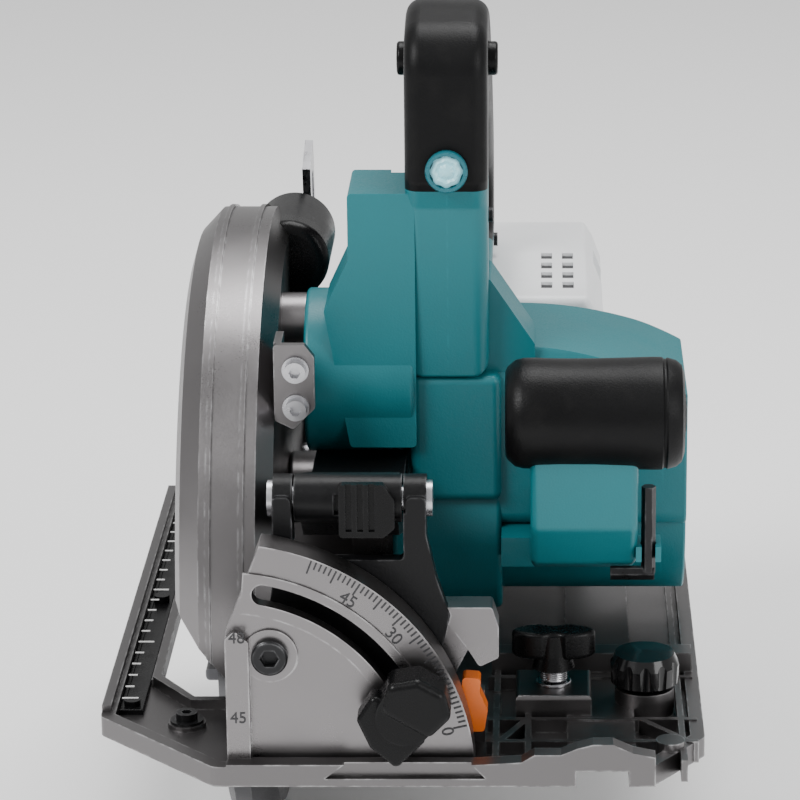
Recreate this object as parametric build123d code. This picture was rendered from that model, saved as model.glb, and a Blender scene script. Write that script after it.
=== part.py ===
from build123d import *
import os
from math import atan2, cos, degrees, pi, radians, sin, sqrt

os.makedirs("parts", exist_ok=True)

# Cordless circular saw for guide rails, in millimetres.
# Origin: middle of the sole, on the sole plane.  +Z up, front is -Y, blade side is -X.
# It is drawn at 0 degrees of bevel and at its full depth of cut.

# ---- driving dimensions -------------------------------------------------------------------
BASE_W = 190.0           # sole, left to right
BASE_L = 284.0           # sole, front to back
FLOOR = 2.5              # thickness of the cast floor of the base
BLADE_R = 95.0           # 190 mm blade
BLADE_X = -52.0          # middle plane of the blade
BLADE_T = 1.4            # thickness of the blade's steel
TOOTH_COUNT = 24
FULL_DEPTH = 68.5        # how far the blade reaches below the sole
SPINDLE_Y = 18.0
HINGE_Y = -112.0         # depth hinge, along X
HINGE_Z = 83.0
SECTOR_R = 75.8          # front bevel scale, about the bevel axis
SLOT_R = 60.75           # middle of the bevel slot
SLOT_HALF = 3.25         # half the width of the bevel slot
CLAMP_DEG = 25.0         # where the clamp stud sits in the slot
GEAR_MODULE = 1.0
GEAR_TEETH = 37
PINION_TEETH = 10
MOTOR_DEG = 128.9        # direction of the motor axis, seen from the spindle
FLANGE_R = 38.0          # wide front end of the motor housing
BARREL_R = 31.0          # narrow rear end of the motor housing
CASE_R = 112.0           # upper blade case, outside
CASE_X0 = -72.5          # left side of the blade case
GUARD_R = 98.0           # lower guard, outside
GUIDE_R = 205.0          # depth guide, about the depth hinge
HANDLE_X0 = 0.5          # left side of the handle
HANDLE_X1 = 27.0         # right side of the handle
SEAM_X = 14.0            # where the two handle shells meet
WALL = 2.6               # plastic wall
SKIN = 2.2               # rubber skin of the handle
RUN = 0.05               # radial clearance of a running fit

# ---- worked out ---------------------------------------------------------------------------
HALF_W = BASE_W / 2
HALF_L = BASE_L / 2
SPINDLE_Z = BLADE_R - FULL_DEPTH
GEAR_R = GEAR_MODULE * GEAR_TEETH / 2
PINION_R = GEAR_MODULE * PINION_TEETH / 2
MOTOR_Y = SPINDLE_Y + (GEAR_R + PINION_R) * cos(radians(MOTOR_DEG))
MOTOR_Z = SPINDLE_Z + (GEAR_R + PINION_R) * sin(radians(MOTOR_DEG))
CLAMP_X = BLADE_X + SLOT_R * cos(radians(CLAMP_DEG))
CLAMP_Z = SLOT_R * sin(radians(CLAMP_DEG))


# ---- plain building helpers ---------------------------------------------------------------
def block(x0, x1, y0, y1, z0, z1):
    centre = Pos((x0 + x1) / 2, (y0 + y1) / 2, (z0 + z1) / 2)
    return centre * Box(x1 - x0, y1 - y0, z1 - z0)


def rod_x(y, z, r, x0, x1):
    return Pos((x0 + x1) / 2, y, z) * Rot(0, 90, 0) * Cylinder(r, x1 - x0)


def rod_y(x, z, r, y0, y1):
    return Pos(x, (y0 + y1) / 2, z) * Rot(90, 0, 0) * Cylinder(r, y1 - y0)


def rod_z(x, y, r, z0, z1):
    return Pos(x, y, (z0 + z1) / 2) * Cylinder(r, z1 - z0)


def outline(points, radius=0):
    """A closed flat shape through the points, with its corners rounded."""
    face = make_face(Polyline(*points, close=True))
    return fillet(face.vertices(), radius) if radius else face


def curved_outline(corners):
    """A closed flat shape from (u, v, corner radius) triples."""
    points = [(u, v) for u, v, _ in corners]
    return make_face(FilletPolyline(*points, radius=[r for _, _, r in corners], close=True))


def slab_x(shape, x0, x1):
    """A flat (y, z) shape made into a slab between two X planes."""
    plane = Plane(origin=(x0, 0, 0), x_dir=(0, 1, 0), z_dir=(1, 0, 0))
    return extrude(plane * shape, amount=x1 - x0)


def slab_y(shape, y0, y1):
    """A flat (x, z) shape made into a slab between two Y planes."""
    plane = Plane(origin=(0, y1, 0), x_dir=(1, 0, 0), z_dir=(0, -1, 0))
    return extrude(plane * shape, amount=y1 - y0)


def slab_z(shape, z0, z1):
    """A flat (x, y) shape made into a slab between two Z planes."""
    return extrude(Pos(0, 0, z0) * shape, amount=z1 - z0)


def turned_x(points, y, z):
    """An (x, radius) outline turned about a line along X."""
    plane = Plane(origin=(0, y, z), x_dir=(1, 0, 0), z_dir=(0, -1, 0))
    return revolve(plane * outline(points), axis=Axis((0, y, z), (1, 0, 0)))


def turned_y(points, x, z, y):
    """A (radius, y) outline turned about a line along Y; points count from y."""
    plane = Plane(origin=(x, y, z), x_dir=(1, 0, 0), z_dir=(0, 0, 1))
    return revolve(plane * outline(points), axis=Axis((x, y, z), (0, 1, 0)))


def turned_z(points, x, y):
    """A (radius, z) outline turned about a line along Z."""
    plane = Plane(origin=(x, y, 0), x_dir=(1, 0, 0), z_dir=(0, -1, 0))
    return revolve(plane * outline(points), axis=Axis((x, y, 0), (0, 0, 1)))


def ring_x(y, z, r_out, r_in, x0, x1):
    return rod_x(y, z, r_out, x0, x1) - rod_x(y, z, r_in, x0 - 1, x1 + 1)


def softened(solid, edges, radius):
    """Round the edges, with a smaller radius where the full one does not fit."""
    for share in (1.0, 0.6, 0.3):
        try:
            rounded = fillet(edges, radius * share)
        except Exception:
            continue
        if rounded.is_valid and rounded.volume > 0.5 * solid.volume:
            return rounded
    return solid


def soft_sides(solid, axis, radius):
    """Round the rims of the first and last face along an axis."""
    faces = solid.faces().sort_by(axis)
    return softened(solid, faces[0].edges() + faces[-1].edges(), radius)


def soft_side(solid, axis, radius, last=True):
    face = solid.faces().sort_by(axis)[-1 if last else 0]
    return softened(solid, face.edges(), radius)


def arc_band(cx, cz, r_in, r_out, start, stop):
    """A flat stretch of a ring between two angles in degrees."""
    middle = (start + stop) / 2

    def at(radius, angle):
        return cx + radius * cos(radians(angle)), cz + radius * sin(radians(angle))

    edges = [
        ThreePointArc(at(r_out, start), at(r_out, middle), at(r_out, stop)),
        Line(at(r_out, stop), at(r_in, stop)),
        ThreePointArc(at(r_in, stop), at(r_in, middle), at(r_in, start)),
        Line(at(r_in, start), at(r_out, start)),
    ]
    return make_face(edges)


def arc_slot(cx, cz, radius, half, start, stop):
    """A curved slot with round ends."""
    slot = arc_band(cx, cz, radius - half, radius + half, start, stop)
    for angle in (start, stop):
        end = Pos(cx + radius * cos(radians(angle)), cz + radius * sin(radians(angle)))
        slot += end * Circle(half)
    return slot


def hull_x(circles, x0, x1):
    """Two round ends joined by their outer tangents, as a slab along X."""
    (y0, z0, r0), (y1, z1, r1) = circles
    shape = make_hull((Pos(y0, z0) * Circle(r0)).edges() + (Pos(y1, z1) * Circle(r1)).edges())
    return slab_x(shape, x0, x1)


def gear_x(y, z, teeth, x0, x1, bore, phase):
    """A spur gear along X; phase turns its first tooth, in degrees."""
    pitch_r = GEAR_MODULE * teeth / 2
    root_r = pitch_r - 1.15 * GEAR_MODULE
    tip_r = pitch_r + 0.75 * GEAR_MODULE
    step = 360 / teeth
    points = []
    for tooth in range(teeth):
        for radius, share in ((root_r, -0.33), (pitch_r, -0.215), (tip_r, -0.09),
                              (tip_r, 0.09), (pitch_r, 0.215), (root_r, 0.33)):
            angle = radians(phase + (tooth + share) * step)
            points.append((y + radius * cos(angle), z + radius * sin(angle)))
    return slab_x(outline(points), x0, x1) - rod_x(y, z, bore, x0 - 1, x1 + 1)


def save(name, shape):
    solids = shape.solids()
    export_step(solids[0] if len(solids) == 1 else Compound(children=solids), f"parts/{name}.step")


# ---- base ---------------------------------------------------------------------------------
BLADE_GAP = [(-67, -83), (-38, -83), (-38, 117), (-79.5, 117), (-79.5, -64)]
RAIL_X0, RAIL_X1, RAIL_H = 54.7, 70.9, 5.0       # groove that runs on the guide rail
FENCE_X, FENCE_Y = 48.0, -88.0                   # clamp screw of the rip fence
FENCE_TOP = 12.8                                 # top of the bridge that the screw stands on
KNOB_X, KNOB_Y = 77.0, -86.0                     # knob that takes up play on the rail
SECTOR_Y0, SECTOR_Y1 = -134.0, -122.0            # front and back of the front bevel scale
REAR_SECTOR_Y0, REAR_SECTOR_Y1 = 136.0, 140.0
REAR_SLOT_R = 36.0
REAR_BOLT_DEG = 35.0
SECTOR_SCREW_X = (-20.0, 10.0)


def base_outline(inset):
    points = [(-56, -HALF_L), (78, -HALF_L), (HALF_W, -118), (HALF_W, 120), (80, HALF_L),
              (-80, HALF_L), (-HALF_W, 122), (-HALF_W, -101)]
    face = outline(points, 4)
    return offset(face, -inset) if inset else face


def base_plate():
    floor = slab_z(base_outline(0), 0, FLOOR)
    rim = slab_z(base_outline(0) - base_outline(4.5), 0, 6.5)
    front_wall = slab_y(outline([(-54, 0), (-52, 7.2), (24, 7.2), (38, 8), (42, 10.4), (50, 10.4),
                                 (55, 12.5), (60, 13.8), (66, 13.8), (72, 11), (79, 9.5), (79, 0)]),
                        -HALF_L, -HALF_L + 6)
    plate = floor + rim + front_wall
    plate += block(-HALF_W, -92, -97, 121, 0, 8.5)
    plate += block(-82.5, -79.5, -66, 120, 0, 5)
    plate += block(-79.5, -38, 117, 120, 0, 6)
    plate += slab_z(outline([(-82, -66), (-68, -86), (-38, -86), (-38, -83), (-67, -83),
                             (-79.5, -64)]), 0, 6)
    # raised channel over the rail groove
    plate += block(RAIL_X0 - 2.5, RAIL_X1 + 2.5, -HALF_L, HALF_L, 0, RAIL_H + 1.3)
    # stiffening ribs: front right field, then rear field
    for x in (30, 40, 88):
        plate += block(x - 1, x + 1, -138, -50, 0, 7)
    for y in (-122, -104, -68):
        plate += block(27, 93, y - 1, y + 1, 0, 7)
    plate += slab_z(outline([(74, -104), (76.6, -104), (91, -122), (88.4, -122)]), 0, 7)
    plate += slab_z(outline([(30, -122), (32.6, -122), (41, -104), (38.4, -104)]), 0, 7)
    plate += block(28, 93, -63, -55, 0, 13)
    for x, y0 in ((-24, 46), (14, -55), (88, -55)):
        plate += block(x - 1, x + 1, y0, 138, 0, 4.2)
    for y in (62, 100, 128):
        plate += block(-36, 93, y - 1, y + 1, 0, 4.2)
    for x in (-30, -8):
        plate += block(x - 1, x + 1, -118, -55, 0, 6)
    # lug that carries the small lever beside the bevel scale
    plate += block(19.5, 26.5, -112.5, -108, 0, 20)
    # bridge over the rip-fence slot
    plate += soft_side(block(36, 60, -100, -76, 0, FENCE_TOP), Axis.Z, 1.5)
    plate -= block(29, 67, -94.8, -81.2, FENCE_TOP - 6.4, FENCE_TOP - 1.6)
    # boss of the play knob, and two plain bosses
    plate += rod_z(KNOB_X, KNOB_Y, 9.5, 0, 11)
    plate += rod_z(84, -126, 4.5, 0, 9)
    plate += rod_z(84, 126, 4.5, 0, 7)
    plate += rod_z(-68, -99, 6, 0, 4)
    # cuts
    plate -= slab_z(outline(BLADE_GAP, 5), -1, 20)
    plate -= block(RAIL_X0, RAIL_X1, -HALF_L - 1, HALF_L + 1, -1, RAIL_H)
    plate -= slab_y(outline([(-22, 2.6), (27, 2.6), (22, 8), (-15, 8)]), -HALF_L - 1, -HALF_L + 2.2)
    plate -= rod_z(FENCE_X, FENCE_Y, 3 + RUN, 9, 15)
    plate -= rod_z(KNOB_X, KNOB_Y, 5 + RUN, 3, 12)
    plate -= rod_y(23, 13, 1.5 + RUN, -113, -107)
    plate -= rod_z(-68, -99, 2.0, -1, 5)
    for x in SECTOR_SCREW_X:
        plate -= rod_z(x, -127, 2.5, -1, 9) + rod_z(x, -127, 4.5, -1, 1.6)
    # flats under the two bevel scales
    plate -= block(-52, 27, SECTOR_Y0 - 0.9, SECTOR_Y1, FLOOR, 12)
    plate -= block(-52, -44.6, SECTOR_Y0 - 3, SECTOR_Y0, FLOOR, 12)
    plate -= block(-56, -5, REAR_SECTOR_Y0, REAR_SECTOR_Y1, FLOOR, 12)
    return plate


def bevel_sector():
    edge = outline([(BLADE_X, FLOOR), (BLADE_X, 47), (-38.5, 82), (30, 82), (30, 12), (25, FLOOR)])
    disc = Pos(BLADE_X, 0) * Circle(SECTOR_R)
    rim = disc - Pos(BLADE_X, 0) * Circle(SECTOR_R - 4.5)
    plate = slab_y(disc & edge, SECTOR_Y0, SECTOR_Y0 + 4.5)
    plate += slab_y(rim & edge, SECTOR_Y0, SECTOR_Y1)
    plate += slab_y(arc_band(BLADE_X, 0, SLOT_R - 7, SLOT_R + 6.2, 19, 85), SECTOR_Y0 - 0.8, SECTOR_Y0)
    plate += block(-30, 22, SECTOR_Y0, SECTOR_Y1, FLOOR, 11)
    plate += slab_y(Pos(-38.5, 40) * Circle(8.5), SECTOR_Y0 - 1, SECTOR_Y0 + 6)
    ear = slab_y(outline([(-52, FLOOR), (-52, 46), (-49, 49), (-44.8, 45), (-44.8, FLOOR)], 1.5),
                 SECTOR_Y0 - 3, SECTOR_Y1)
    plate += ear
    plate -= slab_y(arc_slot(BLADE_X, 0, SLOT_R, SLOT_HALF, 23, 79), SECTOR_Y0 - 5, SECTOR_Y1 + 5)
    plate -= rod_y(-38.5, 40, 4 + RUN, SECTOR_Y0 - 5, SECTOR_Y1 + 5)
    for x in SECTOR_SCREW_X:
        plate -= rod_z(x, -127, 2.5, 0, 9.5)
    return plate


def countersunk_screw(x, y):
    return rod_z(x, y, 4.4, 0.1, 1.6) + rod_z(x, y, 2.4, 1.6, 9)


def base_screws():
    screws = [countersunk_screw(x, -127) for x in SECTOR_SCREW_X]
    edge = rod_z(-68, -99, 5.2, 4, 4.8) + rod_z(-68, -99, 3.4, 4.8, 7.2) + rod_z(-68, -99, 1.9, 0.3, 4)
    edge -= slab_z(Pos(-68, -99) * RegularPolygon(1.7, 6), 5.6, 8)
    return Compound(children=screws + [edge])


def edge_scale():
    strip = soft_side(block(-90.5, -82.7, -90, 118, FLOOR, 4.2), Axis.Z, 0.4)
    strip -= block(-89.3, -83.9, -82, 116, 3.6, 5)
    for y in (-86, 10, 112):
        strip += rod_z(-86.6, y, 2.6, 3.4, 6.2)
    return strip


def stop_dial():
    dial = turned_y([(0, 0), (5.6, 0), (5.6, -2), (5, -2.6), (0, -2.6)], -38.5, 40, SECTOR_Y0 - 1)
    dial += rod_y(-38.5, 40, 4, SECTOR_Y0 - 1, SECTOR_Y0 + 8)
    dial -= slab_y(Pos(-38.5, 40) * RegularPolygon(2.9, 6), SECTOR_Y0 - 5, SECTOR_Y0 - 1)
    dial += slab_y(outline([(-41.5, 37.5), (-35.5, 37.5), (-35.5, 42.5), (-41.5, 42.5)]),
                   SECTOR_Y0 + 8, SECTOR_Y0 + 10)
    return dial


def shift_lever():
    lever = slab_y(outline([(19.6, 9), (26.4, 9), (27.5, 16), (25, 22), (25.5, 26.5), (19.8, 27),
                            (18.8, 17)], 1.2), -119.8, -113)
    lever += rod_y(23, 13, 1.5, -113, -108.2)
    return lever


def wing_screw():
    knob = turned_z([(0, 18.5), (6.8, 18.5), (5.6, 23), (4.6, 29.6), (0, 30.2)], FENCE_X, FENCE_Y)
    wing = Pos(FENCE_X, FENCE_Y) * Ellipse(13.2, 5.6)
    wing -= Pos(FENCE_X, FENCE_Y + 9.5) * Circle(5.6)
    wing -= Pos(FENCE_X, FENCE_Y - 9.5) * Circle(5.6)
    knob += soft_sides(slab_z(wing, 22, 31), Axis.Z, 1.6)
    knob += rod_z(FENCE_X, FENCE_Y, 3, FENCE_TOP - 1.5, 18.5)
    return knob


def wing_spring():
    """Washer and coil spring under the wing screw, as closed rings."""
    washer = rod_z(FENCE_X, FENCE_Y, 5.6, FENCE_TOP, FENCE_TOP + 1)
    washer -= rod_z(FENCE_X, FENCE_Y, 3.2, FENCE_TOP - 1, FENCE_TOP + 2)
    coils = [Pos(FENCE_X, FENCE_Y, FENCE_TOP + 1.6 + 1.1 * turn) * Torus(3.9, 0.45) for turn in range(4)]
    return Compound(children=[washer] + coils)


def rail_knob():
    profile = [(0, 11.6), (8.5, 11.6), (10.8, 13), (11.0, 19), (9.4, 22.4), (0, 23.2)]
    knob = turned_z(profile, KNOB_X, KNOB_Y)
    for flute in range(12):
        angle = 2 * pi * flute / 12
        knob -= rod_z(KNOB_X + 12.6 * cos(angle), KNOB_Y + 12.6 * sin(angle), 2.4, 10, 25)
    return knob + rod_z(KNOB_X, KNOB_Y, 5, 3.3, 11.6)


def rear_sector():
    edge = outline([(-54, FLOOR), (-54, 34), (-44, 48), (-6, 48), (-6, FLOOR)])
    plate = slab_y((Pos(BLADE_X, 0) * Circle(46)) & edge, REAR_SECTOR_Y0, REAR_SECTOR_Y1)
    return plate - slab_y(arc_slot(BLADE_X, 0, REAR_SLOT_R, SLOT_HALF, 33, 84), 130, 145)


# ---- bevel bracket ------------------------------------------------------------------------
BRACKET_Y0, BRACKET_Y1 = -121.0, -116.0
KNUCKLE_R = 7.5
PIN_R = 4.0
SLEEVE_X0, SLEEVE_X1 = -31.5, 1.5
GUIDE_X0, GUIDE_X1 = -39.6, -36.8
GUIDE_BOLT_DEG = -15.0
GUIDE_BOLT_R = 3.9
BOLT_Y = HINGE_Y + GUIDE_R * cos(radians(GUIDE_BOLT_DEG))
BOLT_Z = HINGE_Z + GUIDE_R * sin(radians(GUIDE_BOLT_DEG))


def bevel_bracket():
    web = slab_y(outline([(-45, 13), (-38, 60), (-38, 86), (-32.5, 86), (-31, 66), (2, 66),
                          (3, 86), (9, 86), (9, 74), (12, 60), (16, 48), (10, 20), (-20, 12)], 1.5),
                 BRACKET_Y0, BRACKET_Y1)
    for x0, x1 in ((-38, -32), (2, 9)):
        web += rod_x(HINGE_Y, HINGE_Z, KNUCKLE_R, x0, x1)
        web += block(x0, x1, BRACKET_Y0, HINGE_Y + 3, HINGE_Z - 14, HINGE_Z - 2)
    web += rod_y(CLAMP_X, CLAMP_Z, 6.5, BRACKET_Y0, -112)
    web -= block(SLEEVE_X0 - 0.4, SLEEVE_X1 + 0.4, -130, -100, 66.5, 95)
    web -= rod_x(HINGE_Y, HINGE_Z, PIN_R, -45, 15)
    web -= rod_y(CLAMP_X, CLAMP_Z, 2.9 + RUN, -125, -110)
    return web


def bevel_pointer():
    shape = outline([(14, 47), (11, 50.5), (29, 50.5), (31, 44), (31, 34), (25, 31), (22, 36)], 1.2)
    arm = slab_y(shape, -121.0, -111)
    tail = slab_y(outline([(10, 22), (16, 47), (22, 36), (14, 20)], 1), BRACKET_Y1, -111)
    return arm - slab_y(outline([(-45, 13), (9, 86), (12, 60), (16.2, 48), (10, 20)]), -122, BRACKET_Y1) + tail


def hinge_pin():
    pin = rod_x(HINGE_Y, HINGE_Z, PIN_R, -38.6, 10)
    return pin + rod_x(HINGE_Y, HINGE_Z, 5.6, -39.8, -38) + rod_x(HINGE_Y, HINGE_Z, 5.6, 9, 10.8)


def bevel_clamp_lever():
    """Two-lobed clamp lever on a stud through the bevel slot."""
    hub = rod_y(CLAMP_X, CLAMP_Z, 9, -150, -136.2)
    upper = slab_y(outline([(CLAMP_X - 8, CLAMP_Z + 2), (CLAMP_X - 5, CLAMP_Z + 11),
                            (CLAMP_X + 4, CLAMP_Z + 12.5), (CLAMP_X + 12, CLAMP_Z + 8),
                            (CLAMP_X + 14, CLAMP_Z), (CLAMP_X + 7, CLAMP_Z - 7)], 3), -151, -138)
    lower = slab_y(outline([(CLAMP_X - 10, CLAMP_Z + 6), (CLAMP_X - 15, CLAMP_Z - 2),
                            (CLAMP_X - 11, CLAMP_Z - 11), (CLAMP_X - 3, CLAMP_Z - 18),
                            (CLAMP_X + 6, CLAMP_Z - 9), (CLAMP_X + 3, CLAMP_Z)], 2), -147, -139)
    lever = soft_side(upper, Axis.Y, 2.5, last=False) + soft_side(lower, Axis.Y, 1.5, last=False) + hub
    return lever + rod_y(CLAMP_X, CLAMP_Z, 2.9, -137, -112.5)


def depth_guide():
    """Steel arc plate with the slot that the depth clamp runs in."""
    band = slab_x(arc_band(HINGE_Y, HINGE_Z, GUIDE_R - 11, GUIDE_R + 9, -17.8, 17.5), GUIDE_X0, GUIDE_X1)
    band += slab_x(outline([(80, 21), (132, 21), (134, 12), (134, 8), (82, 8)], 1), GUIDE_X0, GUIDE_X1)
    slot = arc_slot(HINGE_Y, HINGE_Z, GUIDE_R, GUIDE_BOLT_R + 0.35, GUIDE_BOLT_DEG - 0.4, 14.2)
    return band - slab_x(slot, GUIDE_X0 - 1, GUIDE_X1 + 1)


def rear_bracket():
    foot = slab_y(outline([(-40, 8), (-40, 35), (-34, 38), (-14, 34), (-14, 14), (-30, 8)], 1.5),
                  131, 135.5)
    foot += block(GUIDE_X1, -31, 100, 131.5, 9, 20)
    foot -= block(GUIDE_X0, GUIDE_X1, 100, 136, 0, 23)
    bolt_x = BLADE_X + REAR_SLOT_R * cos(radians(REAR_BOLT_DEG))
    bolt_z = REAR_SLOT_R * sin(radians(REAR_BOLT_DEG))
    return foot - rod_y(bolt_x, bolt_z, 2.9, 125, 140)


def rear_bolt():
    bolt_x = BLADE_X + REAR_SLOT_R * cos(radians(REAR_BOLT_DEG))
    bolt_z = REAR_SLOT_R * sin(radians(REAR_BOLT_DEG))
    bolt = rod_y(bolt_x, bolt_z, 2.9, 131, 144)
    nut = slab_y(Pos(bolt_x, bolt_z) * RegularPolygon(6, 6), 141.2, 145.5)
    return bolt + nut + rod_y(bolt_x, bolt_z, 7, 140.4, 141.2)


# ---- saw body: castings -------------------------------------------------------------------
CASE_CUT = [(-85, -120), (-85, 53.7), (CASE_X0, 37.4), (-52, 10.7), (-44.5, 8), (-30, 8), (-30, -120)]
CASE_REACH = 246.5       # furthest point of the case from the depth hinge, clear of the rear scale
BOSS_R = 17.0
HOUSING_R = 22.7
COVER_X = -19.0
FLANGE_X = -5.0
NOZZLE_X, NOZZLE_Z, NOZZLE_R = -41.5, 122.0, 13.8
NECK_Y, NECK_Z, NECK_R = -15.0, 95.0, 27.0


def case_space(wall):
    """The space inside the blade case, or with wall 0 its outside."""
    points = [(CASE_X0 + wall, 0), (CASE_X0 + wall, 98 - wall / 2), (-70.5 + wall, 105 - wall / 2),
              (-64, CASE_R - wall), (-46, CASE_R - wall), (-41 - wall, 105 - wall / 2), (-41 - wall, 0)]
    return turned_x(points, SPINDLE_Y, SPINDLE_Z)


def blade_case():
    shell = case_space(0)
    for x in (-61, -50.5):
        shell += turned_x([(x - 0.8, 100), (x - 0.8, CASE_R + 0.8), (x + 0.8, CASE_R + 0.8), (x + 0.8, 100)],
                          SPINDLE_Y, SPINDLE_Z)
    shell -= case_space(2.5)
    shell -= rod_x(SPINDLE_Y, SPINDLE_Z, 27, -80, -60)
    shell -= rod_x(SPINDLE_Y, SPINDLE_Z, BOSS_R, -44, -38)
    shell -= slab_y(outline(CASE_CUT), -200, 200)
    shell &= rod_x(HINGE_Y, HINGE_Z, CASE_REACH, -90, -30)
    shell += rod_x(NECK_Y, 111, 10, -41.5, -33)
    shell -= rod_x(NECK_Y, 111, 3, -41.5, -32)
    shell -= rod_y(NOZZLE_X, NOZZLE_Z, NOZZLE_R, 20, 90)
    shell -= block(-44, -38, BOLT_Y - 3.9, BOLT_Y + 3.9, BOLT_Z - 3.9, BOLT_Z + 3.9)
    return shell.solids().sort_by(SortBy.VOLUME)[-1]


def dust_nozzle():
    body = rod_y(NOZZLE_X, NOZZLE_Z, NOZZLE_R, 20, 62)
    body = soft_side(body, Axis.Y, 4, last=False)
    body -= rod_y(NOZZLE_X, NOZZLE_Z, NOZZLE_R - 2.2, 24, 63)
    body -= case_space(2.5) & block(-70, -40, -20, 90, 0, NOZZLE_Z + 9)
    return body.solids().sort_by(SortBy.VOLUME)[-1]


def case_bracket():
    plate = slab_y(outline([(-41, 117), (-31, 117), (-28, 113), (-28, 96), (-35, 89), (-41, 92)], 1),
                   -62, -59)
    plate += block(-41, -38.5, -59, -46, 92, 117)
    for z in (96.5, 109):
        plate -= rod_y(-34, z, 2.2, -65, -55)
    return plate


def case_screws():
    screws = []
    for z in (96.5, 109):
        screw = rod_y(-34, z, 4.3, -63.2, -62) + rod_y(-34, z, 3.4, -66.4, -63.2)
        screw += rod_y(-34, z, 2.2, -62, -50)
        screws.append(screw - slab_y(Pos(-34, z) * RegularPolygon(1.9, 6), -67, -64))
    return Compound(children=screws)


def pivot_arm():
    """Sleeve on the depth hinge, with the arm that carries the saw body."""
    arm = rod_x(HINGE_Y, HINGE_Z, KNUCKLE_R, SLEEVE_X0, SLEEVE_X1)
    arm += slab_x(outline([(-112, 76.2), (-112, 90.2), (-96, 86), (-60, 72), (-18, 70), (-14, 58),
                           (-60, 54), (-98, 66)], 2), -30, 0)
    arm -= slab_x(outline([(-94, 72), (-94, 79), (-62, 66), (-30, 63), (-30, 60), (-60, 60)], 1), -24, -6)
    arm -= rod_x(HINGE_Y, HINGE_Z, PIN_R + RUN, -45, 15)
    arm -= block(-19.2, -3.6, -122, -116.4, 79.7, 86.3)
    arm -= hull_x(((SPINDLE_Y, SPINDLE_Z, HOUSING_R), (MOTOR_Y, MOTOR_Z, 25.4)), -41, FLANGE_X)
    arm -= rod_x(MOTOR_Y, MOTOR_Z, FLANGE_R, FLANGE_X, 30)
    arm -= rod_x(NECK_Y, NECK_Z, NECK_R, -33, 2)
    return arm.solids().sort_by(SortBy.VOLUME)[-1]


def shaft_lock_slide():
    pad = slab_y(outline([(-17.5, 74), (-17.5, 91), (-4, 91), (-0.5, 86), (-0.5, 77), (-4, 74)], 1.2),
                 -123.6, -120.4)
    for x in (-14.5, -11, -7.5):
        pad -= block(x - 0.9, x + 0.9, -125, -122.6, 76, 92)
    return pad + block(-14.6, -4, -120.4, -116.8, 80, 86)


def gear_housing():
    body = hull_x(((SPINDLE_Y, SPINDLE_Z, HOUSING_R), (MOTOR_Y, MOTOR_Z, 15)), -40.9, COVER_X)
    body = soft_side(body, Axis.X, 1.5, last=False)
    body += rod_x(SPINDLE_Y, SPINDLE_Z, BOSS_R, -46, -38)
    body -= hull_x(((SPINDLE_Y, SPINDLE_Z, 20.2), (MOTOR_Y, MOTOR_Z, 7)), -32.5, COVER_X + 1)
    body -= rod_x(SPINDLE_Y, SPINDLE_Z, 13, -43, -32)
    body -= rod_x(SPINDLE_Y, SPINDLE_Z, 8, -50, -40)
    return body


def gear_cover():
    body = hull_x(((SPINDLE_Y, SPINDLE_Z, HOUSING_R), (MOTOR_Y, MOTOR_Z, 25.4)), COVER_X, FLANGE_X)
    body -= rod_x(SPINDLE_Y, SPINDLE_Z, 9.5, COVER_X - 1, -12.5)
    body -= rod_x(MOTOR_Y, MOTOR_Z, 11, -17, FLANGE_X + 1)
    body -= rod_x(MOTOR_Y, MOTOR_Z, 6.5, COVER_X - 1, -16)
    return body


def spindle_bearings():
    front = ring_x(SPINDLE_Y, SPINDLE_Z, 13, 6 + RUN, -43, -33.5)
    rear = ring_x(SPINDLE_Y, SPINDLE_Z, 9.5, 6 + RUN, -19, -13)
    return Compound(children=[front, rear])


def motor_bearings():
    front = ring_x(MOTOR_Y, MOTOR_Z, 11, 4 + RUN, -17, -10)
    rear = ring_x(MOTOR_Y, MOTOR_Z, 11, 4 + RUN, 76, 83)
    return Compound(children=[front, rear])


# ---- saw body: motor housing and handle ---------------------------------------------------
MOTOR_X1 = 84.0
CAP_X1 = 92.0
UPPER_X0 = 27.0
FAN_X0, FAN_X1 = 4.0, 15.0
CORE_X0, CORE_X1 = 36.0, 70.0


def upper_hood():
    """Rounded hood over the motor that holds the electronics."""
    side = slab_x(outline([(-33, 46), (-33, 92), (-26, 107), (26, 107), (32, 98), (32, 46)], 5),
                  UPPER_X0, CAP_X1)
    edges = [Line((UPPER_X0, 40), (UPPER_X0, 106)),
             ThreePointArc((UPPER_X0, 106), (64, 102.5), (CAP_X1, 91.5)),
             Line((CAP_X1, 91.5), (CAP_X1, 40)), Line((CAP_X1, 40), (UPPER_X0, 40))]
    return side & slab_y(make_face(edges), -60, 60)


def front_block():
    """Flat-faced block of the motor housing below the handle's front post."""
    body = block(1.5, 31, -37, 20, 56, 99)
    return softened(body, body.edges(), 3)


def motor_outside():
    flange = soft_sides(rod_x(MOTOR_Y, MOTOR_Z, FLANGE_R, FLANGE_X, 31), Axis.X, 2)
    barrel = rod_x(MOTOR_Y, MOTOR_Z, BARREL_R, 25, CAP_X1)
    corner = slab_x(outline([(-26, 12), (-34, 26), (-28, 34), (-18, 20)], 3), FLANGE_X, 6)
    return flange + barrel + corner + upper_hood() + front_block()


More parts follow.
